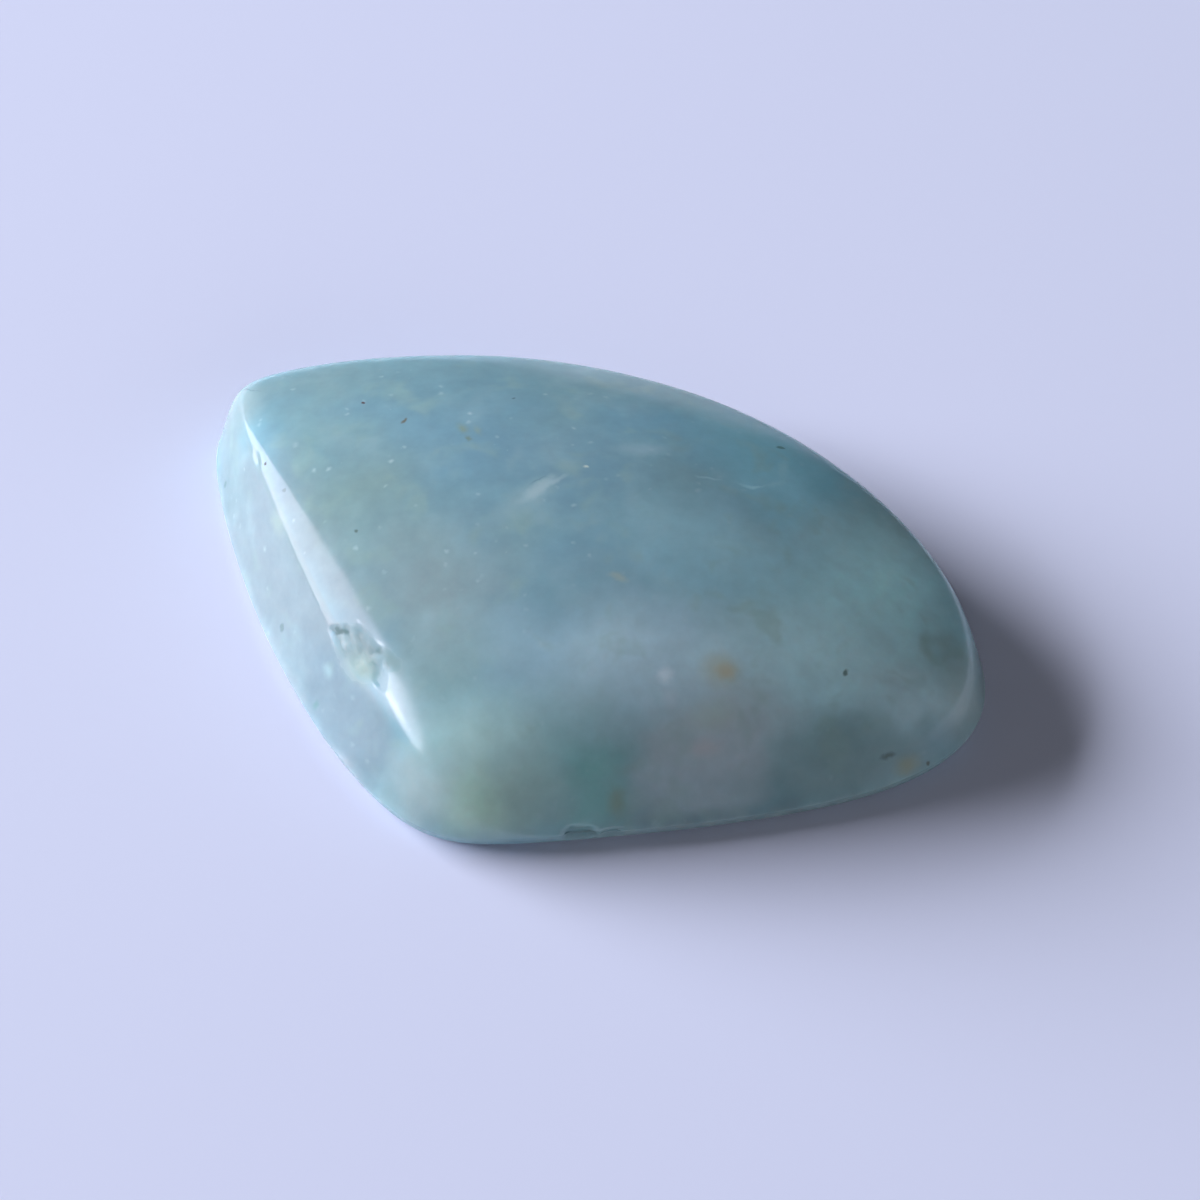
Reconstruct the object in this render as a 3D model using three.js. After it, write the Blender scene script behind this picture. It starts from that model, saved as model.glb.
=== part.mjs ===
// A polished freeform opal: a low asymmetric dome on a flat back, with one side ground to a steep wall.
// The stone lies on z = 0 with its long side along x, its pointed end at -x and the ground wall facing -x.
import * as THREE from 'three';

// Driving dimensions, in millimetres and degrees.
const topHeight = 7.6;
const girdleHeight = 1.0;
const edgeInset = 0.8;
const planCentre = [-0.1, -0.3];

// The crown is a paraboloid that curves differently on its four sides.
const crown = {
  at: [-1.1, -0.8],
  turn: -24,
  radius: { left: 69, right: 40, front: 18.5, back: 23 },
};

// Control points of the outline, counter-clockwise from the middle of the ground side. Each also says how
// the flank above it runs: the slope of the roll, how snugly the roll turns into the crown, the height
// above the girdle at which the roll would meet the outline, and the slope of the wall that cuts it off.
const steep = 88;
const flank = [
  { at: [-16.5, 1.3], roll: 46, snug: 4.5, lift: 2.6, wall: 64 },
  { at: [-12.9, -6.9], roll: 38, snug: 3.2, lift: 3.0, wall: 57 },
  { at: [-8.2, -13.4], roll: 46, snug: 3.0, lift: 1.4, wall: 49 },
  { at: [-4.1, -13.8], roll: 56, snug: 2.8, lift: 0, wall: 72 },
  { at: [1.3, -13.2], roll: 58, snug: 2.6, lift: 0, wall: steep },
  { at: [6.9, -12.5], roll: 58, snug: 2.4, lift: 0, wall: steep },
  { at: [13.8, -10.9], roll: 60, snug: 2.6, lift: 0, wall: steep },
  { at: [18.3, -7.3], roll: 66, snug: 3.2, lift: 0, wall: steep },
  { at: [17.6, -1.4], roll: 76, snug: 5, lift: 0, wall: steep },
  { at: [14.8, 3.2], roll: 78, snug: 7, lift: 0, wall: steep },
  { at: [12.4, 6.0], roll: 76, snug: 8, lift: 0, wall: steep },
  { at: [8.8, 9.4], roll: 75, snug: 8, lift: 0, wall: steep },
  { at: [1.2, 13.1], roll: 74, snug: 8, lift: 0, wall: steep },
  { at: [-7.3, 13.6], roll: 74, snug: 8, lift: 0, wall: steep },
  { at: [-17.4, 12.5], roll: 68, snug: 7, lift: 0.5, wall: 76 },
  { at: [-18.7, 9.5], roll: 56, snug: 6, lift: 1.8, wall: 70 },
];
const creaseSharpness = 10;

// Shallow chips: one on the crease above the ground wall, one in the lower front edge.
const chips = [
  { at: [-10.4, -6.3, 4.6], reach: 1.3, depth: 0.3 },
  { at: [-0.4, -13.4, 1.0], reach: 0.9, depth: 0.22 },
];

// Mesh fineness. Rings crowd towards the outline, where the stone curves most.
const columnsPerSpan = 8;
const edgeSteps = 4;
const domeRings = 28;
const ringCrowding = 1.5;

const radians = THREE.MathUtils.degToRad;

// Uniform cubic B-spline weights of four neighbouring control points, and their derivatives.
function splineWeights(t) {
  return [
    (1 - t) ** 3 / 6,
    (3 * t ** 3 - 6 * t ** 2 + 4) / 6,
    (-3 * t ** 3 + 3 * t ** 2 + 3 * t + 1) / 6,
    t ** 3 / 6,
  ];
}

function splineSlopes(t) {
  return [
    -((1 - t) ** 2) / 2,
    (3 * t ** 2 - 4 * t) / 2,
    (-3 * t ** 2 + 2 * t + 1) / 2,
    t ** 2 / 2,
  ];
}

function mixAlong(span, weights, read) {
  return weights.reduce((sum, weight, i) => sum + weight * read(flank[(span + i) % flank.length]), 0);
}

// One column of the stone: its outline point, its outward direction and how its flank runs.
function makeColumn(span, t) {
  const weights = splineWeights(t);
  const slopes = splineSlopes(t);
  const point = new THREE.Vector2(
    mixAlong(span, weights, (row) => row.at[0]),
    mixAlong(span, weights, (row) => row.at[1]),
  );
  const tangent = new THREE.Vector2(
    mixAlong(span, slopes, (row) => row.at[0]),
    mixAlong(span, slopes, (row) => row.at[1]),
  ).normalize();
  const normal = new THREE.Vector2(tangent.y, -tangent.x);
  const spoke = point.clone().sub(new THREE.Vector2(...planCentre));
  return {
    point,
    normal,
    spoke,
    squareReach: normal.dot(spoke),
    roll: Math.tan(radians(mixAlong(span, weights, (row) => row.roll))),
    snug: mixAlong(span, weights, (row) => row.snug),
    lift: mixAlong(span, weights, (row) => row.lift),
    wall: Math.tan(radians(mixAlong(span, weights, (row) => row.wall))),
  };
}

function crownHeight(x, y) {
  const turn = radians(crown.turn);
  const dx = x - crown.at[0];
  const dy = y - crown.at[1];
  const along = dx * Math.cos(turn) + dy * Math.sin(turn);
  const across = -dx * Math.sin(turn) + dy * Math.cos(turn);
  const radiusAlong = along < 0 ? crown.radius.left : crown.radius.right;
  const radiusAcross = across < 0 ? crown.radius.front : crown.radius.back;
  return topHeight - along ** 2 / (2 * radiusAlong) - across ** 2 / (2 * radiusAcross);
}

// The smaller of two heights, with a rounded change from one to the other.
function softLower(a, b, sharpness) {
  return (a ** -sharpness + b ** -sharpness) ** (-1 / sharpness);
}

// A point of the dome: reach is 1 at the outline and 0 at the plan centre.
function domePoint(column, reach) {
  const x = planCentre[0] + column.spoke.x * reach;
  const y = planCentre[1] + column.spoke.y * reach;
  const inward = (column.squareReach * (1 - reach)) / reach;
  const crownPart = crownHeight(x, y) - girdleHeight;
  const rolled = softLower(crownPart, column.lift + column.roll * inward, column.snug);
  const cut = softLower(rolled, column.wall * inward, creaseSharpness);
  return new THREE.Vector3(x, y, girdleHeight + cut);
}

// A point of the rounded edge below the girdle: angle is 90 at the flat back and 0 at the girdle.
function edgePoint(column, angle) {
  const inset = edgeInset * (1 - Math.cos(radians(angle)));
  return new THREE.Vector3(
    column.point.x - column.normal.x * inset,
    column.point.y - column.normal.y * inset,
    girdleHeight * (1 - Math.sin(radians(angle))),
  );
}

function chipAway(point) {
  const heart = new THREE.Vector3(...planCentre, girdleHeight);
  for (const chip of chips) {
    const nearness = 1 - (point.distanceTo(new THREE.Vector3(...chip.at)) / chip.reach) ** 2;
    if (nearness > 0) {
      const inward = heart.clone().sub(point).normalize();
      point.addScaledVector(inward, chip.depth * nearness);
    }
  }
  return point;
}

function makeRings() {
  const columns = [];
  for (let span = 0; span < flank.length; span += 1) {
    for (let i = 0; i < columnsPerSpan; i += 1) {
      columns.push(makeColumn(span, i / columnsPerSpan));
    }
  }
  const rings = [];
  for (let i = 0; i < edgeSteps; i += 1) {
    const angle = 90 * (1 - i / edgeSteps);
    rings.push(columns.map((column) => chipAway(edgePoint(column, angle))));
  }
  for (let i = 0; i < domeRings; i += 1) {
    const reach = 1 - (i / domeRings) ** ringCrowding;
    rings.push(columns.map((column) => chipAway(domePoint(column, reach))));
  }
  return rings;
}

// Joins the rings into one closed skin, with a fan across the flat back and a small one at the top.
function makeStoneGeometry() {
  const rings = makeRings();
  const count = rings[0].length;
  const backCentre = new THREE.Vector3(...planCentre, 0);
  const topCentre = new THREE.Vector3(...planCentre, crownHeight(...planCentre));
  const points = [...rings.flat(), backCentre, topCentre];
  const back = points.length - 2;
  const top = points.length - 1;
  const lastRing = (rings.length - 1) * count;
  const faces = [];
  for (let i = 0; i < count; i += 1) {
    const next = (i + 1) % count;
    faces.push(back, next, i);
    faces.push(top, lastRing + i, lastRing + next);
    for (let start = 0; start < lastRing; start += count) {
      const above = start + count;
      faces.push(start + i, start + next, above + next);
      faces.push(start + i, above + next, above + i);
    }
  }
  const geometry = new THREE.BufferGeometry();
  geometry.setFromPoints(points);
  geometry.setIndex(faces);
  return geometry;
}

// Puts the middle of the footprint on the z axis.
function centreFootprint(geometry) {
  geometry.computeBoundingBox();
  const middle = geometry.boundingBox.getCenter(new THREE.Vector3());
  geometry.translate(-middle.x, -middle.y, 0);
  geometry.computeVertexNormals();
  return geometry;
}

const opalFinish = new THREE.MeshStandardMaterial({ color: 0x86acb6, roughness: 0.16, metalness: 0 });
const opal = new THREE.Mesh(centreFootprint(makeStoneGeometry()), opalFinish);
opal.name = 'opal';

const group = new THREE.Group();
group.add(opal);

export default group;
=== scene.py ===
# A polished freeform opal lying on a pale table.
# The stone is built from the same outline and heights as the imported solid, only much finer,
# and its milky colour, clouds and marks are all made from noise and from soft patches placed one by one.
# Some of those patches are painted light and painted shade, where the lamps leave the stone too dark or
# too bright.
import math

import bpy
import numpy as np
from mathutils import Matrix, Quaternion, Vector, noise


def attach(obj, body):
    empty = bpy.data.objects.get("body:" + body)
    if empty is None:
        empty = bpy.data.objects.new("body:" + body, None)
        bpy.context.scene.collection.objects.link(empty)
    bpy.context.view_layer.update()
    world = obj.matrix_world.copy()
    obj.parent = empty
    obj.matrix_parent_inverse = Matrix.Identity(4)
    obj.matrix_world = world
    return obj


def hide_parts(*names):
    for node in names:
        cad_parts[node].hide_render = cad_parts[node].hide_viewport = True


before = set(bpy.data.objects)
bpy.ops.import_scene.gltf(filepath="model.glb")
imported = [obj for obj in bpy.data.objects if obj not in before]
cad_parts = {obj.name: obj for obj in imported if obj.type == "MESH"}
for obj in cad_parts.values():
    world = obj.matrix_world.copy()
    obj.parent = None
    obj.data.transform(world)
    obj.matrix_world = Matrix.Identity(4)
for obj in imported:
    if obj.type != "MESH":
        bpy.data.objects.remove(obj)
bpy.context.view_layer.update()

mm = 0.001

# Sizes in millimetres and degrees. Each flank row is x, y, roll slope, snugness, lift, wall slope.
stone = {
    "top": 7.6,
    "girdle": 1.0,
    "edgeInset": 0.8,
    "planCentre": (-0.1, -0.3),
    "crownAt": (-1.1, -0.8),
    "crownTurn": -24,
    "crownLeft": 69,
    "crownRight": 40,
    "crownFront": 18.5,
    "crownBack": 23,
    "creaseSharpness": 10,
    "flank": [
        (-16.5, 1.3, 46, 4.5, 2.6, 64),
        (-12.9, -6.9, 38, 3.2, 3.0, 57),
        (-8.2, -13.4, 46, 3.0, 1.4, 49),
        (-4.1, -13.8, 56, 2.8, 0, 72),
        (1.3, -13.2, 58, 2.6, 0, 88),
        (6.9, -12.5, 58, 2.4, 0, 88),
        (13.8, -10.9, 60, 2.6, 0, 88),
        (18.3, -7.3, 66, 3.2, 0, 88),
        (17.6, -1.4, 76, 5, 0, 88),
        (14.8, 3.2, 78, 7, 0, 88),
        (12.4, 6.0, 76, 8, 0, 88),
        (8.8, 9.4, 75, 8, 0, 88),
        (1.2, 13.1, 74, 8, 0, 88),
        (-7.3, 13.6, 74, 8, 0, 88),
        (-17.4, 12.5, 68, 7, 0.5, 76),
        (-18.7, 9.5, 56, 6, 1.8, 70),
    ],
    "columnsPerSpan": 30,
    "edgeRings": 12,
    "domeRings": 150,
    "backRings": 12,
    "ringCrowding": 1.5,
    "outlineSteps": 100,
    "sliver": 1e-6,  # keeps the first ring of the dome off a division by zero
}

# Small unevenness left by the grinding wheel, and the damage. Places are x, y, z on the stone.
# A fray is the pitch and strength of a noise that makes a chip's edge ragged, and a brim is how far
# out, in shares of its size, a chip or pit ends. From there a chip deepens over its edge, another
# share, to a floor made uneven by a noise with the pitch, falloff, step and octaves given.
# The lowest part, which the stone rests on, stays true.
relief = {
    "trueBelow": 0.15,
    "wornOver": 0.5,
    "swell": 0.03,
    "swellSize": 6.0,
    "ripple": 0.006,
    "rippleSize": 2.2,
    "frays": [(2.1, 0.35), (5.3, 0.18)],
    "floorPitch": 2.6,
    "floorFractal": (1.0, 2.0, 3),
    "chipBrim": 1.05,
    "pitBrim": 1.2,
    "chips": [
        {"at": (-10.3, -6.1, 4.55), "long": 1.8, "wide": 1.1, "turn": -55, "depth": 0.09,
         "rough": 0.12, "edge": 0.6},
        {"at": (-9.3, -7.3, 4.5), "long": 0.8, "wide": 0.4, "turn": -62, "depth": 0.05,
         "rough": 0.05, "edge": 0.6},
        {"at": (-15.5, 5.0, 5.1), "long": 0.8, "wide": 0.3, "turn": -65, "depth": 0.03,
         "rough": 0.04, "edge": 0.6},
        {"at": (-0.5, -13.4, 1.0), "long": 0.8, "wide": 0.45, "turn": 5, "depth": 0.2,
         "rough": 0.08, "edge": 0.35},
        {"at": (0.9, -13.2, 0.9), "long": 0.4, "wide": 0.3, "turn": 5, "depth": 0.1,
         "rough": 0.05, "edge": 0.35},
    ],
    "pits": [
        {"at": (-11.4, -4.9, 4.45), "size": 0.19, "depth": 0.09},
        {"at": (-11.05, -5.05, 4.65), "size": 0.2, "depth": 0.1},
        {"at": (-10.75, -5.1, 4.85), "size": 0.18, "depth": 0.09},
        {"at": (-9.3, -6.4, 4.98), "size": 0.2, "depth": 0.07},
        {"at": (-8.95, -7.1, 4.85), "size": 0.16, "depth": 0.05},
        {"at": (-15.04, 4.42, 5.48), "size": 0.13, "depth": 0.08},
    ],
}


def blendFlank(t, order):
    # cubic B-spline through the flank rows, or its derivative
    if order == 0:
        weights = [
            (1 - t) ** 3 / 6,
            (3 * t**3 - 6 * t**2 + 4) / 6,
            (-3 * t**3 + 3 * t**2 + 3 * t + 1) / 6,
            t**3 / 6,
        ]
    else:
        weights = [
            -((1 - t) ** 2) / 2,
            (3 * t**2 - 4 * t) / 2,
            (-3 * t**2 + 2 * t + 1) / 2,
            t**2 / 2,
        ]
    rows = np.array(stone["flank"], float)
    spans = [
        np.roll(rows, -i, axis=0)[:, None, :] * weight[None, :, None]
        for i, weight in enumerate(weights)
    ]
    return sum(spans).reshape(-1, rows.shape[1])


def crownHeight(x, y):
    turn = math.radians(stone["crownTurn"])
    dx = x - stone["crownAt"][0]
    dy = y - stone["crownAt"][1]
    along = dx * math.cos(turn) + dy * math.sin(turn)
    across = -dx * math.sin(turn) + dy * math.cos(turn)
    radiusAlong = np.where(along < 0, stone["crownLeft"], stone["crownRight"])
    radiusAcross = np.where(across < 0, stone["crownFront"], stone["crownBack"])
    return stone["top"] - along**2 / (2 * radiusAlong) - across**2 / (2 * radiusAcross)


def softLower(a, b, sharpness):
    return (a**-sharpness + b**-sharpness) ** (-1 / sharpness)


def stoneRings():
    t = np.arange(stone["columnsPerSpan"]) / stone["columnsPerSpan"]
    rows = blendFlank(t, 0)
    tangent = blendFlank(t, 1)[:, :2]
    tangent /= np.linalg.norm(tangent, axis=1)[:, None]
    normal = np.stack([tangent[:, 1], -tangent[:, 0]], axis=1)
    outline = rows[:, :2]
    centre = np.array(stone["planCentre"])
    spoke = outline - centre
    squareReach = (normal * spoke).sum(axis=1)
    roll = np.tan(np.radians(rows[:, 2]))
    snug = rows[:, 3]
    lift = rows[:, 4]
    wall = np.tan(np.radians(rows[:, 5]))
    girdle = stone["girdle"]
    flat = np.zeros(len(outline))
    rings = []
    back = outline - normal * stone["edgeInset"]
    for i in range(1, stone["backRings"]):
        plan = centre + (back - centre) * i / stone["backRings"]
        rings.append(np.column_stack([plan, flat]))
    for i in range(stone["edgeRings"]):
        angle = math.pi / 2 * (1 - i / stone["edgeRings"])
        plan = outline - normal * stone["edgeInset"] * (1 - math.cos(angle))
        rings.append(np.column_stack([plan, flat + girdle * (1 - math.sin(angle))]))
    for i in range(stone["domeRings"]):
        reach = 1 - (i / stone["domeRings"]) ** stone["ringCrowding"]
        plan = centre + spoke * reach
        inward = squareReach * (1 - reach) / reach + stone["sliver"]
        rolled = softLower(crownHeight(plan[:, 0], plan[:, 1]) - girdle, lift + roll * inward, snug)
        cut = softLower(rolled, wall * inward, stone["creaseSharpness"])
        rings.append(np.column_stack([plan, girdle + cut]))
    return rings


def footprintMiddle():
    # what the stone is moved by, so that the middle of its footprint stands on the z axis
    outline = blendFlank(np.linspace(0, 1, stone["outlineSteps"]), 0)[:, :2]
    return (outline.min(axis=0) + outline.max(axis=0)) / 2


def meshFromRings(rings):
    count = len(rings[0])
    centre = stone["planCentre"]
    topHeight = float(crownHeight(np.array(centre[0]), np.array(centre[1])))
    points = np.vstack(rings + [[(*centre, 0.0)], [(*centre, topHeight)]])
    here = np.arange(count)
    ahead = (here + 1) % count
    faces = []
    for start in range(0, (len(rings) - 1) * count, count):
        above = start + count
        quads = np.column_stack([start + here, start + ahead, above + ahead, above + here])
        faces.extend(quads.tolist())
    backCentre = len(points) - 2
    topCentre = len(points) - 1
    last = (len(rings) - 1) * count
    faces.extend([backCentre, int(b), int(a)] for a, b in zip(here, ahead))
    faces.extend([topCentre, last + int(a), last + int(b)] for a, b in zip(here, ahead))
    mesh = bpy.data.meshes.new("opal")
    mesh.from_pydata((points * mm).tolist(), [], faces)
    mesh.update()
    mesh.shade_smooth()
    return mesh


def smoothFade(value):
    value = min(max(value, 0.0), 1.0)
    return value * value * (3 - 2 * value)


def chipDepth(chip, point):
    offset = point - Vector(chip["at"])
    turn = math.radians(chip["turn"])
    along = offset.x * math.cos(turn) + offset.y * math.sin(turn)
    across = Vector((-offset.x * math.sin(turn) + offset.y * math.cos(turn), offset.z)).length
    ragged = sum(strength * noise.noise(point * pitch) for pitch, strength in relief["frays"])
    distance = math.hypot(along / chip["long"], across / chip["wide"]) + ragged
    if distance > relief["chipBrim"]:
        return 0.0
    unevenness = noise.fractal(point * relief["floorPitch"], *relief["floorFractal"])
    floor = chip["depth"] + chip["rough"] * unevenness
    return max(floor, 0.0) * smoothFade((relief["chipBrim"] - distance) / chip["edge"])


def pitDepth(pit, point):
    distance = (point - Vector(pit["at"])).length / pit["size"]
    return pit["depth"] * smoothFade(relief["pitBrim"] - distance)


def wearStone(mesh):
    normals = [Vector(item.vector) for item in mesh.vertex_normals]
    moved = []
    for vertex, normal in zip(mesh.vertices, normals):
        point = vertex.co / mm
        above = smoothFade((point.z - relief["trueBelow"]) / relief["wornOver"])
        if above == 0.0:
            moved.append(vertex.co.copy())
            continue
        lower = sum(chipDepth(chip, point) for chip in relief["chips"])
        lower += sum(pitDepth(pit, point) for pit in relief["pits"])
        lower += relief["swell"] * noise.noise(point / relief["swellSize"])
        lower += relief["ripple"] * noise.noise(point / relief["rippleSize"])
        moved.append((point - normal * lower * above) * mm)
    middle = Vector((*footprintMiddle(), 0.0)) * mm
    for vertex, place in zip(mesh.vertices, moved):
        vertex.co = place - middle
    mesh.update()


def makeStone():
    mesh = meshFromRings(stoneRings())
    wearStone(mesh)
    piece = bpy.data.objects.new("polished_opal", mesh)
    bpy.context.scene.collection.objects.link(piece)
    mesh.materials.append(opalMaterial())
    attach(piece, "root")
    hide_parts("opal")


# Colours are linear, places and sizes are millimetres on the stone, and turn is in degrees.
opalLook = {
    "blue": (0.215, 0.375, 0.435),
    "green": (0.26, 0.412, 0.417),
    "milk": (0.37, 0.52, 0.54),
    "moss": (0.30, 0.42, 0.37),
    "fleck": (0.56, 0.70, 0.71),
    "roughness": (0.09, 0.16),
    "shine": 0.5,
    "ior": 1.45,
    "chipRoughness": 0.55,
    "chipShine": 0.12,
    "mattRim": (0.5, 1.3),  # the heights between which the duller lower edge ends
    "glowDepth": (0.9, 1.25, 1.35),
    "glowScale": 0.0024,  # metres
}

# Each noise is its size in millimetres, its detail and its roughness. A mask goes from none to its
# strength over the stretch given, and a reach is the span in millimetres by which a place is bent.
noises = {
    "wander": {"size": 3.2, "detail": 2.0, "rough": 0.5, "reach": 2.6},
    "ragged": {"size": 0.5, "detail": 2.0, "rough": 0.5, "reach": 0.35},
    "drift": {"size": 8.0, "detail": 2.0, "rough": 0.5, "stretch": (0.35, 0.65), "strength": 1.0},
    "haze": {"size": 3.4, "detail": 2.0, "rough": 0.6, "stretch": (0.45, 0.8), "strength": 0.35},
    "moss": {"size": 2.2, "detail": 2.0, "rough": 0.6, "stretch": (0.54, 0.76), "strength": 0.4},
    "curdle": {"size": 1.1, "detail": 3.0, "rough": 0.6, "levels": (0.86, 1.14)},
    "polish": {"size": 3.0, "detail": 0.0, "rough": 0.5, "stretch": (0.35, 0.7)},
}

# How steeply a surface must face upwards, from 0 to 1, to count as the dome and not the ground wall.
wallFacing = (0.58, 0.72)

# Wide soft zones of colour inside the stone. Some are its own tone. Others are painted light, partly or
# wholly, that makes the front and the blunt end paler, and painted shade that darkens the point, the
# ground wall, the crease and the bottom edge. Their edges wander by a slow noise. Soft is the share of
# the size over which one fades, and spill is how far past its size a wholly soft one reaches. A
# "square" one has straighter sides, and a "wall" one stops at the crease.
spill = 0.3
clouds = {
    # painted shade: the point is made darker where the lamps light it too brightly
    "pointPaintedShade": {"at": (-16.9, 9.0, 4.2), "size": (2.2, 2.4, 2.2), "turn": 20, "soft": 0.8,
                  "colour": (0.30, 0.36, 0.355), "strength": 0.9},
    # partly the wall's greyer tone, partly painted shade that darkens the side the key light falls on
    "wallToneAndPaintedShade": {"at": (-14.5, -2.5, 2.6), "size": (5, 12, 5), "turn": 24, "soft": 0.3, "wall": True,
                   "colour": (0.275, 0.342, 0.355), "strength": 0.95},
    "cyanWallAndPaintedShade": {"at": (-17.0, 6.4, 3.0), "size": (2.4, 4.2, 2.8), "turn": 10, "soft": 0.8, "wall": True,
                 "colour": (0.235, 0.34, 0.34), "strength": 0.8},
    "lowerWallAndPaintedShade": {"at": (-11.0, -7.6, 2.2), "size": (4.0, 4.8, 3.4), "turn": 24, "soft": 0.6,
                  "wall": True, "colour": (0.24, 0.33, 0.362), "strength": 0.9},
    "rimShade": {"at": (-14.4, -2.6, 0.5), "size": (5.0, 14.0, 0.9), "turn": 24, "soft": 0.6,
                 "wall": True, "colour": (0.28, 0.34, 0.36), "strength": 0.8},
    # painted shade: a darker strip along the crease that dims the window mirrored there
    "creasePaintedShade": {"at": (-12.7, 0.2, 5.5), "size": (1.9, 6.4, 2.2), "turn": 24, "soft": 0.8,
                   "colour": (0.25, 0.31, 0.335), "strength": 0.7},
    "greenShoulder": {"at": (-10.8, 1.2, 6.6), "size": (4.8, 4.6, 3.0), "turn": 10, "soft": 1.0,
                      "colour": (0.255, 0.365, 0.34), "strength": 0.85},
    "greyVeil": {"at": (-7.0, -4.2, 6.3), "size": (5.2, 5.0, 3.0), "turn": -20, "soft": 0.9,
                 "colour": (0.295, 0.38, 0.38), "strength": 0.85},
    "blueHeart": {"at": (-1.2, 2.5, 7.3), "size": (7.6, 5.2, 3.0), "turn": -12, "soft": 1.0,
                  "colour": (0.20, 0.345, 0.412), "strength": 0.8},
    "backEdge": {"at": (-4.5, 9.0, 5.6), "size": (10.0, 3.8, 3.2), "turn": -4, "soft": 0.9,
                 "colour": (0.19, 0.34, 0.385), "strength": 0.75},
    "greenPoint": {"at": (-13.6, 9.4, 5.0), "size": (4.2, 2.8, 2.5), "turn": 0, "soft": 0.9,
                   "colour": (0.25, 0.37, 0.368), "strength": 0.7},
    "blueBack": {"at": (3.0, 6.2, 6.2), "size": (4.0, 3.0, 2.6), "turn": -20, "soft": 0.9,
                 "colour": (0.19, 0.375, 0.465), "strength": 0.75},
    "greyMiddle": {"at": (0.2, -3.8, 7.3), "size": (3.0, 2.2, 2.0), "turn": 0, "soft": 0.9,
                   "colour": (0.25, 0.39, 0.435), "strength": 0.8},
    "clearMiddle": {"at": (6.5, -2.6, 6.9), "size": (6.2, 4.0, 3.0), "turn": -12, "soft": 1.0,
                    "colour": (0.39, 0.65, 0.73), "strength": 0.7},
    "tealRim": {"at": (9.0, 4.6, 5.2), "size": (6.0, 4.4, 3.4), "turn": -38, "soft": 0.8,
                "colour": (0.235, 0.51, 0.58), "strength": 0.85},
    "hookVeil": {"at": (8.7, 2.4, 6.0), "size": (2.2, 2.6, 1.8), "turn": 0, "soft": 1.0,
                 "colour": (0.33, 0.62, 0.70), "strength": 0.7},
    # painted light: the blunt end faces away from the key light and is made paler to make up for it
    "bluntEndPaintedLight": {"at": (13.2, -3.1, 4.7), "size": (5.9, 6.0, 4.0), "turn": 0, "soft": 0.9,
                 "colour": (0.57, 0.93, 0.96), "strength": 0.95},
    # partly milky tone, partly painted light that brightens the front and right, which the key light
    # leaves dark
    "milkyBellyAndPaintedLight": {"at": (2.8, -7.9, 6.0), "size": (7.2, 3.6, 3.0), "turn": -4, "soft": 0.9,
                   "colour": (0.56, 0.73, 0.80), "strength": 0.85},
    "milkyFlankAndPaintedLight": {"at": (10.6, -7.1, 5.1), "size": (6.4, 3.5, 2.8), "turn": 0, "soft": 0.9,
                   "colour": (0.62, 0.88, 0.91), "strength": 0.85},
    "milkyCornerAndPaintedLight": {"at": (13.8, -7.9, 4.0), "size": (3.6, 2.4, 2.2), "turn": 0, "soft": 0.9,
                    "colour": (0.61, 0.79, 0.81), "strength": 0.8},
    # partly milky tone, partly painted light on the front, which faces away from the key light
    "frontRollAndPaintedLight": {"at": (-3.0, -10.4, 4.7), "size": (5.2, 2.4, 2.4), "turn": 0, "soft": 0.9,
                  "colour": (0.39, 0.57, 0.57), "strength": 0.8},
    "mauveVeil": {"at": (6.2, -9.8, 4.6), "size": (3.6, 2.2, 2.4), "turn": -12, "soft": 0.9,
                  "colour": (0.54, 0.64, 0.65), "strength": 0.75},
    "mauveCloud": {"at": (4.9, -11.2, 3.5), "size": (2.9, 1.9, 2.6), "turn": 0, "soft": 0.4,
                   "square": True, "colour": (0.47, 0.555, 0.57), "strength": 0.85},
    "mauveFoot": {"at": (4.9, -12.4, 1.9), "size": (2.9, 1.6, 1.8), "turn": 0, "soft": 0.5,
                  "square": True, "colour": (0.43, 0.53, 0.55), "strength": 0.7},
    "tealDrift": {"at": (-0.6, -11.7, 3.2), "size": (3.2, 2.6, 2.8), "turn": 0, "soft": 0.9,
                  "colour": (0.34, 0.57, 0.55), "strength": 0.7},
    "tealPool": {"at": (0.5, -12.1, 2.8), "size": (1.8, 1.5, 2.0), "turn": 0, "soft": 0.6,
                 "square": True, "colour": (0.25, 0.50, 0.46), "strength": 0.85},
    "oliveDrift": {"at": (-5.0, -11.6, 3.4), "size": (3.6, 2.6, 2.6), "turn": 0, "soft": 1.0,
                   "colour": (0.50, 0.68, 0.62), "strength": 0.7},
    "oliveCorner": {"at": (-4.9, -12.7, 2.4), "size": (2.4, 1.5, 1.8), "turn": 0, "soft": 1.0,
                    "colour": (0.56, 0.73, 0.58), "strength": 0.8},
    "oliveEdge": {"at": (-2.4, -12.5, 2.6), "size": (1.9, 1.6, 2.2), "turn": 0, "soft": 0.9,
                  "colour": (0.42, 0.58, 0.52), "strength": 0.7},
    # partly greyer tone, partly painted light on the front corner, which faces away from the key light
    "frontCornerAndPaintedLight": {"at": (-7.4, -11.9, 2.4), "size": (1.8, 1.9, 2.2), "turn": 0, "soft": 0.9,
                    "colour": (0.375, 0.455, 0.44), "strength": 0.8},
    # painted shade along the lower edge, darker where light from the table would brighten it
    "footPaintedShade": {"at": (11.4, -10.6, 2.2), "size": (6.5, 2.2, 2.2), "turn": 10, "soft": 0.9,
                 "colour": (0.27, 0.385, 0.38), "strength": 0.85},
    "frontRimPaintedShade": {"at": (7.5, -12.0, 0.4), "size": (11.0, 3.0, 1.3), "turn": 10, "soft": 0.7,
                 "colour": (0.20, 0.28, 0.28), "strength": 0.85},
    "endRimPaintedShade": {"at": (17.8, -5.6, 0.8), "size": (2.2, 5.0, 1.6), "turn": 0, "soft": 0.8,
               "colour": (0.27, 0.37, 0.37), "strength": 0.8},
    "paleEnd": {"at": (16.6, -7.0, 2.6), "size": (1.8, 2.6, 2.0), "turn": 10, "soft": 0.9,
                "colour": (0.45, 0.56, 0.54), "strength": 0.8},
}

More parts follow.
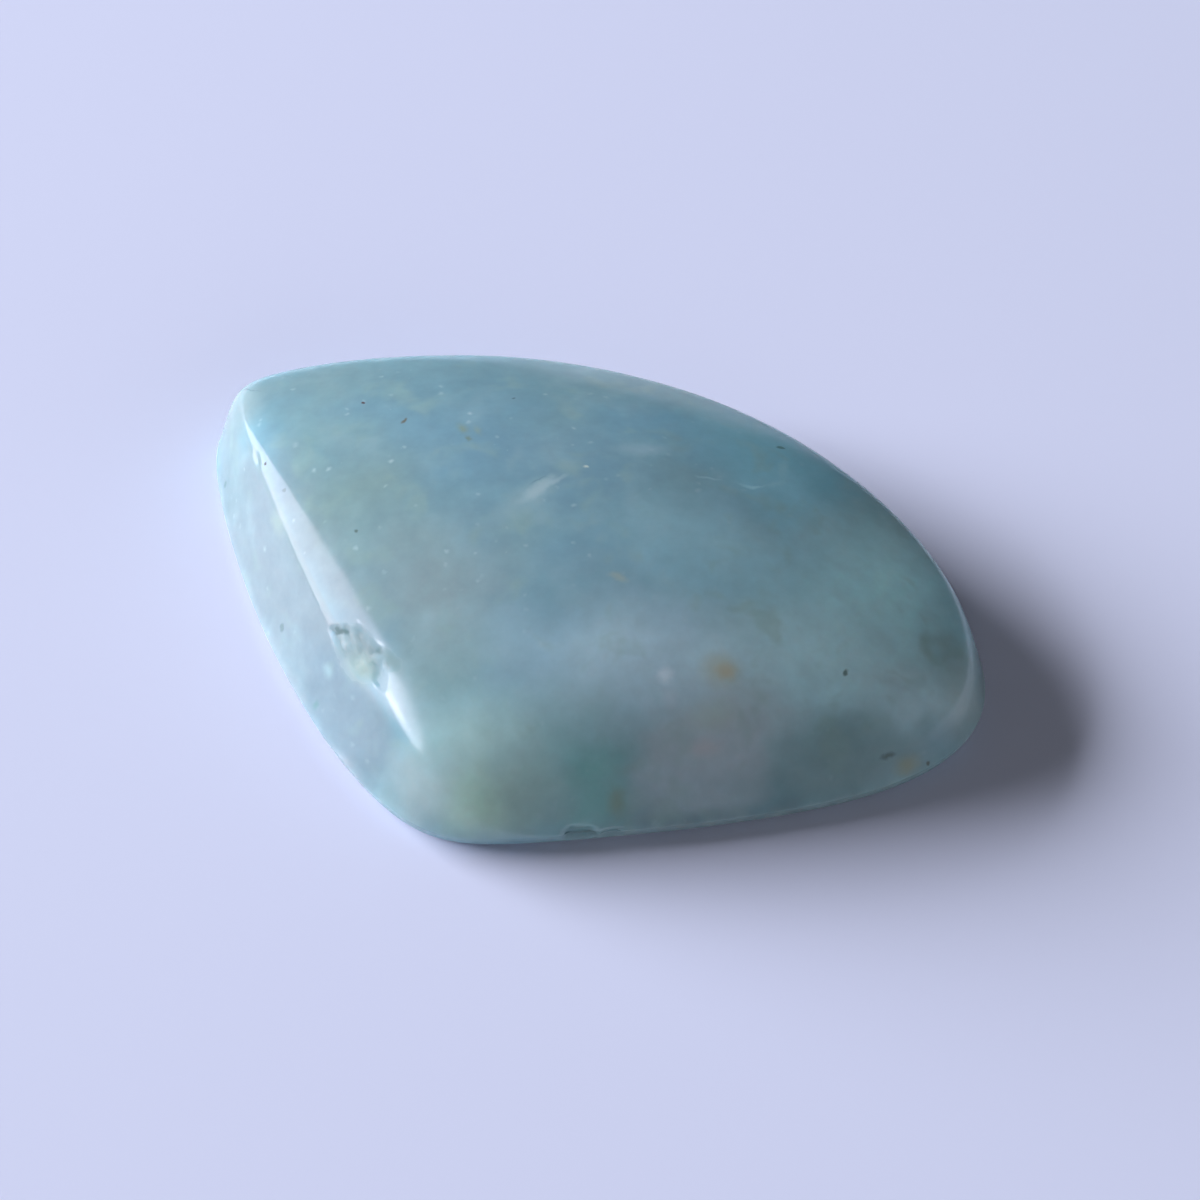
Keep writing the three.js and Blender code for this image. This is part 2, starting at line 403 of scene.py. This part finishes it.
# Small stains and dark mineral specks with ragged edges.
stains = {
    "honeySpot": {"at": (5.6, -8.1, 5.85), "size": (0.95, 0.9, 0.9), "turn": 0, "soft": 1.0,
                  "colour": (0.56, 0.60, 0.50), "strength": 0.75},
    "honeyHeart": {"at": (5.85, -8.2, 5.8), "size": (0.48, 0.45, 0.45), "turn": 0, "soft": 1.0,
                   "colour": (0.54, 0.50, 0.34), "strength": 0.6},
    "honeyTrail": {"at": (5.3, -9.9, 4.9), "size": (1.3, 0.8, 0.9), "turn": 10, "soft": 1.0,
                   "colour": (0.50, 0.60, 0.50), "strength": 0.4},
    "rosySpot": {"at": (5.0, -10.9, 3.9), "size": (0.9, 0.5, 0.6), "turn": 0, "soft": 1.0,
                 "colour": (0.56, 0.52, 0.50), "strength": 0.5},
    "whiteSpot": {"at": (3.2, -8.5, 5.9), "size": (0.42, 0.45, 0.45), "turn": 0, "soft": 0.9,
                  "colour": (0.80, 0.88, 0.92), "strength": 0.65},
    "whiteSmear": {"at": (3.35, -9.3, 5.4), "size": (0.45, 0.5, 0.6), "turn": 0, "soft": 1.0,
                   "colour": (0.66, 0.72, 0.76), "strength": 0.35},
    "ochreSpot": {"at": (13.9, -10.0, 1.5), "size": (0.75, 0.6, 0.6), "turn": 10, "soft": 1.0,
                  "colour": (0.36, 0.37, 0.22), "strength": 0.65},
    "brownFoot": {"at": (1.1, -12.5, 2.2), "size": (0.45, 0.7, 0.9), "turn": 0, "soft": 1.0,
                  "colour": (0.30, 0.33, 0.22), "strength": 0.5},
    "ochreMottle": {"at": (-5.9, 5.1, 7.0), "size": (0.5, 0.3, 0.4), "turn": -62, "soft": 1.0,
                    "colour": (0.27, 0.34, 0.22), "strength": 0.7},
    "ochreHeart": {"at": (-5.6, 4.35, 7.12), "size": (0.26, 0.16, 0.3), "turn": -55, "soft": 0.9,
                   "colour": (0.20, 0.25, 0.14), "strength": 0.65},
    "ochreTrail": {"at": (-5.2, 4.9, 7.1), "size": (0.45, 0.2, 0.4), "turn": -62, "soft": 1.0,
                   "colour": (0.31, 0.39, 0.28), "strength": 0.5},
    "strawFleck": {"at": (1.2, -4.1, 7.32), "size": (0.5, 0.25, 0.4), "turn": -20, "soft": 0.9,
                   "colour": (0.46, 0.50, 0.40), "strength": 0.5},
    "crestGrey": {"at": (-10.4, -6.1, 4.6), "size": (1.75, 1.1, 1.2), "turn": -55, "soft": 0.5,
                  "colour": (0.31, 0.39, 0.39), "strength": 0.9},
    "crestGreen": {"at": (-10.0, -6.8, 4.3), "size": (1.1, 0.75, 0.8), "turn": -55, "soft": 1.0,
                   "colour": (0.35, 0.45, 0.39), "strength": 0.7},
    "crestMarks": {"at": (-11.1, -5.0, 4.65), "size": (0.5, 0.16, 0.3), "turn": -20, "soft": 0.6,
                   "colour": (0.15, 0.22, 0.21), "strength": 0.8},
    "crestMarkRight": {"at": (-9.3, -6.4, 4.98), "size": (0.26, 0.18, 0.25), "turn": -38, "soft": 0.7,
                       "colour": (0.18, 0.28, 0.27), "strength": 0.7},
    "crestMarkLow": {"at": (-8.95, -7.1, 4.85), "size": (0.3, 0.14, 0.25), "turn": -62, "soft": 0.8,
                     "colour": (0.22, 0.33, 0.32), "strength": 0.6},
    "crestNotch": {"at": (-8.75, -6.9, 5.0), "size": (1.0, 0.4, 0.6), "turn": -55, "soft": 0.9,
                   "colour": (0.26, 0.35, 0.33), "strength": 0.6},
    "creaseStain": {"at": (-14.3, 1.2, 4.9), "size": (0.9, 0.45, 0.6), "turn": -62, "soft": 0.9,
                    "colour": (0.37, 0.45, 0.40), "strength": 0.6},
    "creaseScuff": {"at": (-15.5, 5.0, 5.1), "size": (0.9, 0.3, 0.5), "turn": -62, "soft": 1.0,
                    "colour": (0.30, 0.40, 0.39), "strength": 0.4},
    "wallCyan": {"at": (-11.66, -5.94, 3.06), "size": (0.5, 0.3, 0.4), "turn": -55, "soft": 1.0,
                 "colour": (0.38, 0.54, 0.56), "strength": 0.55},
    "wallMarkHigh": {"at": (-17.44, 6.37, 1.8), "size": (0.16, 0.16, 0.3), "turn": 0, "soft": 0.6,
                     "colour": (0.14, 0.24, 0.24), "strength": 0.7},
    "wallMarkMiddle": {"at": (-14.06, -2.68, 2.05), "size": (0.16, 0.2, 0.32), "turn": 20, "soft": 0.6,
                       "colour": (0.16, 0.24, 0.23), "strength": 0.7},
    "wallMarkLow": {"at": (-12.28, -6.7, 1.5), "size": (0.22, 0.2, 0.4), "turn": 20, "soft": 0.8,
                    "colour": (0.15, 0.30, 0.26), "strength": 0.6},
    "blackSpeck": {"at": (-15.04, 4.42, 5.48), "size": (0.13, 0.13, 0.14), "turn": 0, "soft": 0.4,
                   "colour": (0.02, 0.03, 0.03), "strength": 0.95},
    "redSpeck": {"at": (-10.63, 7.49, 6.25), "size": (0.13, 0.12, 0.14), "turn": 0, "soft": 0.4,
                 "colour": (0.09, 0.03, 0.02), "strength": 0.9},
    "brownDash": {"at": (-8.63, 5.86, 6.74), "size": (0.26, 0.12, 0.2), "turn": 60, "soft": 0.6,
                  "colour": (0.16, 0.13, 0.07), "strength": 0.8},
    "crestSpeck": {"at": (-14.04, 2.43, 5.7), "size": (0.14, 0.12, 0.14), "turn": 0, "soft": 0.6,
                   "colour": (0.14, 0.22, 0.22), "strength": 0.8},
    "shoulderSpeck": {"at": (-10.51, -0.74, 6.51), "size": (0.14, 0.13, 0.14), "turn": 0, "soft": 0.6,
                      "colour": (0.12, 0.17, 0.14), "strength": 0.8},
    "backSpeck": {"at": (-3.67, 7.63, 6.4), "size": (0.12, 0.11, 0.12), "turn": 0, "soft": 0.6,
                  "colour": (0.08, 0.13, 0.15), "strength": 0.7},
    "rimSpeck": {"at": (8.83, 5.96, 4.84), "size": (0.26, 0.14, 0.2), "turn": 10, "soft": 0.6,
                 "colour": (0.09, 0.20, 0.18), "strength": 0.8},
    "flankDash": {"at": (11.06, -7.61, 5.01), "size": (0.24, 0.12, 0.2), "turn": 48, "soft": 0.6,
                  "colour": (0.15, 0.22, 0.19), "strength": 0.8},
    "footDash": {"at": (13.0, -10.05, 2.2), "size": (0.45, 0.13, 0.2), "turn": 20, "soft": 0.9,
                 "colour": (0.12, 0.15, 0.12), "strength": 0.65},
    "footSpeck": {"at": (14.86, -9.7, 1.2), "size": (0.18, 0.14, 0.16), "turn": 0, "soft": 0.6,
                  "colour": (0.12, 0.13, 0.09), "strength": 0.8},
}

# Healed cracks and wisps: long thin marks, bent by the given amount, that stay crisp.
wisps = {
    "featherShade": {"at": (-3.0, 0.35, 7.55), "size": (2.1, 0.8, 1.2), "turn": 48, "bend": 0.0,
                     "soft": 1.0, "colour": (0.36, 0.50, 0.52), "strength": 0.45},
    "feather": {"at": (-2.4, 0.85, 7.54), "size": (1.3, 0.36, 0.8), "turn": 48, "bend": 0.22,
                "soft": 0.8, "colour": (0.42, 0.55, 0.56), "strength": 0.8},
    "featherBarb": {"at": (-1.7, 1.3, 7.52), "size": (0.85, 0.2, 0.6), "turn": 38, "bend": 0.2,
                    "soft": 0.9, "colour": (0.40, 0.54, 0.56), "strength": 0.65},
    "featherEdge": {"at": (-2.35, 1.5, 7.53), "size": (0.5, 0.07, 0.4), "turn": 42, "bend": 0.3,
                    "soft": 1.0, "colour": (0.15, 0.25, 0.29), "strength": 0.5},
    "hook": {"at": (7.35, 2.12, 6.27), "size": (0.7, 0.14, 0.5), "turn": 10, "bend": 1.6,
             "soft": 1.0, "colour": (0.44, 0.72, 0.76), "strength": 0.75},
    "hookTail": {"at": (8.5, 2.75, 5.85), "size": (0.8, 0.22, 0.6), "turn": 38, "bend": 0.4,
                 "soft": 1.0, "colour": (0.38, 0.64, 0.67), "strength": 0.45},
    "hookRise": {"at": (8.85, 4.1, 5.4), "size": (1.1, 0.28, 0.8), "turn": 80, "bend": 0.0,
                 "soft": 1.0, "colour": (0.38, 0.62, 0.64), "strength": 0.4},
    "streak": {"at": (5.35, 2.3, 6.7), "size": (0.7, 0.1, 0.5), "turn": -4, "bend": 0.0,
               "soft": 0.9, "colour": (0.40, 0.62, 0.66), "strength": 0.5},
    "backHaze": {"at": (2.3, 3.9, 6.9), "size": (1.5, 0.6, 1.0), "turn": 10, "bend": 0.2,
                 "soft": 1.0, "colour": (0.38, 0.55, 0.60), "strength": 0.5},
    "pointCrack": {"at": (-16.3, 9.75, 4.45), "size": (0.95, 0.05, 1.3), "turn": -38, "bend": 0.1,
                   "soft": 0.9, "colour": (0.12, 0.19, 0.19), "strength": 0.6},
    "crestDot": {"at": (-0.22, 2.39, 7.37), "size": (0.16, 0.12, 0.2), "turn": 0, "bend": 0.0,
                 "soft": 0.7, "colour": (0.62, 0.72, 0.62), "strength": 0.9},
}

# White flecks scattered through the stone. Size and softness are shares of the spacing, and rarity is
# the share of cells that hold none. They are thickest inside the fleck field, and as thick as
# fleckBase says outside it.
fleckLayers = [
    {"spacing": 0.7, "size": 0.3, "soft": 0.3, "rarity": 0.3, "strength": 0.45},
    {"spacing": 1.5, "size": 0.2, "soft": 0.26, "rarity": 0.35, "strength": 0.6},
]
fleckField = {"at": (-8.0, 3.5, 6.6), "size": (13, 10, 8), "turn": -12, "soft": 0.8, "strength": 0.8}
fleckBase = 0.3

# Where the chip on the crease and the notch beside it have lost their polish.
brokenPlaces = {
    "chip": {"at": (-10.3, -6.2, 4.6), "size": (1.9, 1.15, 1.3), "turn": -55, "soft": 0.35,
             "strength": 1.0},
    "notch": {"at": (-8.7, -6.9, 5.0), "size": (1.0, 0.45, 0.7), "turn": -55, "soft": 0.6,
              "strength": 0.85},
}

# A thin dark line of painted shade along the crease, where the surface turns fastest. It fades in and
# out again between the four slopes under facing.
paintedCreaseShade = {"at": (-13.9, 0.9, 5.2), "size": (2.2, 7.2, 2.2), "turn": 24, "soft": 0.4, "strength": 0.6,
              "colour": (0.25, 0.34, 0.33), "facing": (0.54, 0.60, 0.66, 0.72)}


def addNode(tree, kind, inputs=None, **settings):
    node = tree.nodes.new(kind)
    for name, value in settings.items():
        setattr(node, name, value)
    for name, value in (inputs or {}).items():
        if isinstance(value, bpy.types.NodeSocket):
            tree.links.new(value, node.inputs[name])
        else:
            node.inputs[name].default_value = value
    return node


def mathStep(tree, operation, a, b=0.0):
    return addNode(tree, "ShaderNodeMath", {0: a, 1: b}, operation=operation).outputs[0]


def vectorStep(tree, operation, inputs):
    return addNode(tree, "ShaderNodeVectorMath", inputs, operation=operation).outputs[0]


def rangeStep(tree, value, low, high, toLow=0.0, toHigh=1.0):
    inputs = {"Value": value, "From Min": low, "From Max": high, "To Min": toLow, "To Max": toHigh}
    return addNode(tree, "ShaderNodeMapRange", inputs, interpolation_type="SMOOTHSTEP").outputs["Result"]


def mixColour(tree, factor, a, b):
    # a mix node takes its two colours at inputs 6 and 7, and gives the result at output 2
    node = addNode(tree, "ShaderNodeMix", data_type="RGBA", blend_type="MIX")
    for index, value in ((0, factor), (6, a), (7, b)):
        if isinstance(value, bpy.types.NodeSocket):
            tree.links.new(value, node.inputs[index])
        else:
            node.inputs[index].default_value = value if index == 0 else (*value, 1.0)
    return node.outputs[2]


def noiseStep(tree, vector, look, output="Fac"):
    inputs = {
        "Vector": vector,
        "Scale": 1 / look["size"],
        "Detail": look["detail"],
        "Roughness": look["rough"],
    }
    return addNode(tree, "ShaderNodeTexNoise", inputs).outputs[output]


def noiseMask(tree, vector, look):
    low, high = look["stretch"]
    return rangeStep(tree, noiseStep(tree, vector, look), low, high, 0.0, look["strength"])


def warpPlace(tree, place, look):
    swirl = noiseStep(tree, place, look, "Color")
    centred = vectorStep(tree, "SUBTRACT", {0: swirl, 1: (0.5, 0.5, 0.5)})  # a noise lies around a half
    moved = vectorStep(tree, "SCALE", {0: centred, "Scale": look["reach"]})
    return vectorStep(tree, "ADD", {0: place, 1: moved})


def turnPlace(tree, places, turn):
    # all the patches that share a turn also share one turned copy of the place, which renders faster
    if turn not in places:
        inputs = {"Vector": places[0], "Angle": math.radians(-turn)}
        places[turn] = addNode(tree, "ShaderNodeVectorRotate", inputs, rotation_type="Z_AXIS").outputs[0]
    return places[turn]


def patchMask(tree, places, patch):
    centre = Matrix.Rotation(math.radians(-patch["turn"]), 3, "Z") @ Vector(patch["at"])
    share = [1 / size for size in patch["size"]]
    shift = [-share[i] * centre[i] for i in range(3)]
    inputs = {0: turnPlace(tree, places, patch["turn"]), 1: share, 2: shift}
    local = vectorStep(tree, "MULTIPLY_ADD", inputs)
    if patch.get("bend"):
        parts = addNode(tree, "ShaderNodeSeparateXYZ", {0: local}).outputs
        square = mathStep(tree, "MULTIPLY", parts[0], parts[0])
        across = mathStep(tree, "SUBTRACT", parts[1], mathStep(tree, "MULTIPLY", square, patch["bend"]))
        local = addNode(tree, "ShaderNodeCombineXYZ", {0: parts[0], 1: across, 2: parts[2]}).outputs[0]
    if patch.get("square"):
        local = vectorStep(tree, "MULTIPLY", {0: local, 1: local})
    distance = addNode(tree, "ShaderNodeVectorMath", {0: local}, operation="LENGTH").outputs["Value"]
    if patch.get("square"):
        distance = mathStep(tree, "SQRT", distance)
    inner = 1 - patch["soft"]
    outer = 1 + spill * patch["soft"]
    return rangeStep(tree, distance, inner, outer, patch["strength"], 0.0)


def fleckMask(tree, place, layer):
    inputs = {"Vector": place, "Scale": 1 / layer["spacing"]}
    cells = addNode(tree, "ShaderNodeTexVoronoi", inputs)
    picked = addNode(tree, "ShaderNodeSeparateColor", {0: cells.outputs["Color"]}).outputs[0]
    radius = rangeStep(tree, picked, layer["rarity"], 1.0, 0.0, layer["size"])
    depth = mathStep(tree, "SUBTRACT", radius, cells.outputs["Distance"])
    return rangeStep(tree, depth, 0.0, layer["soft"], 0.0, layer["strength"])


# the mask of the painted shade along the crease
def paintedCreaseShadeMask(tree, places, facing):
    low, start, end, high = paintedCreaseShade["facing"]
    rising = rangeStep(tree, facing, low, start)
    falling = rangeStep(tree, facing, end, high, 1.0, 0.0)
    band = mathStep(tree, "MULTIPLY", rising, falling)
    return mathStep(tree, "MULTIPLY", band, patchMask(tree, places, paintedCreaseShade))


def opalColour(tree, place, ragged, facing):
    wander = {0: warpPlace(tree, place, noises["wander"])}
    onWall = rangeStep(tree, facing, *wallFacing, 1.0, 0.0)
    drift = noiseMask(tree, place, noises["drift"])
    colour = mixColour(tree, drift, opalLook["blue"], opalLook["green"])
    for cloud in clouds.values():
        mask = patchMask(tree, wander, cloud)
        if cloud.get("wall"):
            mask = mathStep(tree, "MULTIPLY", mask, onWall)
        colour = mixColour(tree, mask, colour, cloud["colour"])
    colour = mixColour(tree, noiseMask(tree, wander[0], noises["haze"]), colour, opalLook["milk"])
    colour = mixColour(tree, noiseMask(tree, wander[0], noises["moss"]), colour, opalLook["moss"])
    colour = mottleColour(tree, place, colour)
    field = mathStep(tree, "ADD", patchMask(tree, wander, fleckField), fleckBase)
    for layer in fleckLayers:
        flecks = mathStep(tree, "MULTIPLY", fleckMask(tree, ragged[0], layer), field)
        colour = mixColour(tree, flecks, colour, opalLook["fleck"])
    colour = mixColour(tree, paintedCreaseShadeMask(tree, ragged, facing), colour, paintedCreaseShade["colour"])
    for stain in stains.values():
        colour = mixColour(tree, patchMask(tree, ragged, stain), colour, stain["colour"])
    for wisp in wisps.values():
        colour = mixColour(tree, patchMask(tree, ragged, wisp), colour, wisp["colour"])
    return colour


def mottleColour(tree, place, colour):
    # slight light and dark curdling, a millimetre or so across
    dark, light = noises["curdle"]["levels"]
    inputs = {"Value": noiseStep(tree, place, noises["curdle"]), "To Min": dark, "To Max": light}
    level = addNode(tree, "ShaderNodeMapRange", inputs).outputs[0]
    return vectorStep(tree, "SCALE", {0: colour, "Scale": level})


def opalRoughness(tree, place, broken):
    low, high = noises["polish"]["stretch"]
    polish = rangeStep(tree, noiseStep(tree, place, noises["polish"]), low, high, *opalLook["roughness"])
    rise = mathStep(tree, "MULTIPLY", broken, opalLook["chipRoughness"])
    return mathStep(tree, "MAXIMUM", polish, rise)


def opalMaterial():
    material = bpy.data.materials.new("milky_opal")
    material.use_nodes = True
    tree = material.node_tree
    tree.nodes.clear()
    where = addNode(tree, "ShaderNodeTexCoord").outputs
    inputs = {0: where["Object"], 1: (1 / mm, 1 / mm, 1 / mm), 2: (*footprintMiddle(), 0.0)}
    place = vectorStep(tree, "MULTIPLY_ADD", inputs)
    facing = addNode(tree, "ShaderNodeSeparateXYZ", {0: where["Normal"]}).outputs[2]
    ragged = {0: warpPlace(tree, place, noises["ragged"])}
    height = addNode(tree, "ShaderNodeSeparateXYZ", {0: place}).outputs[2]
    broken = rangeStep(tree, height, *opalLook["mattRim"], 1.0, 0.0)
    for brokenPlace in brokenPlaces.values():
        broken = mathStep(tree, "MAXIMUM", broken, patchMask(tree, ragged, brokenPlace))
    # no bump, because Cycles would then work this whole tree out again wherever light leaves the stone
    shader = addNode(tree, "ShaderNodeBsdfPrincipled", {
        "Base Color": opalColour(tree, place, ragged, facing),
        "Roughness": opalRoughness(tree, place, broken),
        "Specular IOR Level": rangeStep(tree, broken, 0.0, 1.0, opalLook["shine"], opalLook["chipShine"]),
        "IOR": opalLook["ior"],
        "Subsurface Weight": 1.0,
        "Subsurface Radius": opalLook["glowDepth"],
        "Subsurface Scale": opalLook["glowScale"],
    })
    output = addNode(tree, "ShaderNodeOutputMaterial")
    tree.links.new(shader.outputs[0], output.inputs[0])
    return material


# The table top and the light, in metres and degrees. Turn goes from +X to +Y, and rise goes up.
# The key light casts the shadows and the fill softens the near side. The panes and the glint are only
# what the polish mirrors. Lean turns a lamp about its own beam.
studio = {
    "tableSize": 1.6,
    "tableColour": (0.735, 0.75, 0.90),
    "tableRoughness": 0.7,
    "tableShine": 0.2,
    "key": {"turn": 159, "rise": 19, "distance": 1.3, "size": (1.0, 0.5), "lean": 0,
            "round": False, "power": 42.5, "colour": (0.96, 1.0, 1.14)},
    "pane": {"turn": 168, "rise": 11, "distance": 0.9, "size": (0.62, 1.64), "lean": -25,
             "round": True, "power": 14.5, "colour": (1.04, 0.91, 1.08)},
    "sidePane": {"turn": 195, "rise": 39, "distance": 0.9, "size": (0.28, 0.30), "lean": 0,
                 "round": True, "power": 1.8, "colour": (0.98, 0.97, 1.12)},
    "glint": {"turn": 195, "rise": 36, "distance": 0.9, "size": (0.1, 0.1), "lean": 0,
              "round": True, "power": 0.36, "colour": (1.0, 1.0, 1.1)},
    "fill": {"turn": 300, "rise": 22, "distance": 0.9, "size": (1.2, 0.36), "lean": 0,
             "round": False, "power": 1.9, "colour": (0.97, 1.0, 1.1)},
    "skyColour": (0.86, 0.92, 1.0),
    "skyStrength": 0.05,
}


def makeTable():
    half = studio["tableSize"] / 2
    mesh = bpy.data.meshes.new("table")
    corners = [(-half, -half, 0), (half, -half, 0), (half, half, 0), (-half, half, 0)]
    mesh.from_pydata(corners, [], [(0, 1, 2, 3)])
    table = bpy.data.objects.new("table", mesh)
    bpy.context.scene.collection.objects.link(table)
    material = bpy.data.materials.new("pale_card")
    material.use_nodes = True
    shader = material.node_tree.nodes["Principled BSDF"]
    shader.inputs["Base Color"].default_value = (*studio["tableColour"], 1)
    shader.inputs["Roughness"].default_value = studio["tableRoughness"]
    shader.inputs["Specular IOR Level"].default_value = studio["tableShine"]
    mesh.materials.append(material)


def makeLamp(name, values):
    turn = math.radians(values["turn"])
    rise = math.radians(values["rise"])
    away = Vector((math.cos(turn) * math.cos(rise), math.sin(turn) * math.cos(rise), math.sin(rise)))
    data = bpy.data.lights.new(name, "AREA")
    data.shape = "ELLIPSE" if values["round"] else "RECTANGLE"
    data.size, data.size_y = values["size"]
    data.energy = values["power"]
    data.color = values["colour"]
    lamp = bpy.data.objects.new(name, data)
    lamp.location = away * values["distance"]
    lean = Quaternion((0, 0, 1), math.radians(values["lean"]))
    lamp.rotation_euler = ((-away).to_track_quat("-Z", "Y") @ lean).to_euler()
    lamp.visible_camera = False
    bpy.context.scene.collection.objects.link(lamp)
    return lamp


def makeLights():
    for name in ("key", "fill"):
        soft = makeLamp("soft_" + name, studio[name])
        soft.visible_glossy = False
    for name in ("pane", "sidePane", "glint"):
        mirrored = makeLamp("window_" + name, studio[name])
        mirrored.visible_diffuse = False
    world = bpy.data.worlds.new("room")
    world.use_nodes = True
    sky = world.node_tree.nodes["Background"]
    sky.inputs["Color"].default_value = (*studio["skyColour"], 1)
    sky.inputs["Strength"].default_value = studio["skyStrength"]
    bpy.context.scene.world = world


# The photo's viewpoint, in millimetres: square to the long side, looking down at about 50 degrees.
view = {
    "target": (0.4, -1.8, 3.0),
    "rise": 50,
    "distance": 128.6,
    "lens": 85,
    "sensor": 36,
    "nearest": 10,
}


def makeCamera():
    data = bpy.data.cameras.new("camera")
    data.lens = view["lens"]
    data.sensor_width = view["sensor"]
    data.clip_start = view["nearest"] * mm
    camera = bpy.data.objects.new("camera", data)
    rise = math.radians(view["rise"])
    back = Vector((0, -math.cos(rise), math.sin(rise)))
    target = Vector(view["target"]) - Vector((*footprintMiddle(), 0.0))
    camera.location = (target + back * view["distance"]) * mm
    camera.rotation_euler = (-back).to_track_quat("-Z", "Y").to_euler()
    bpy.context.scene.collection.objects.link(camera)
    bpy.context.scene.camera = camera


print("camera and table")
makeCamera()
makeTable()

print("the stone")
makeStone()

print("lights")
makeLights()
bpy.context.scene.view_settings.view_transform = "Standard"
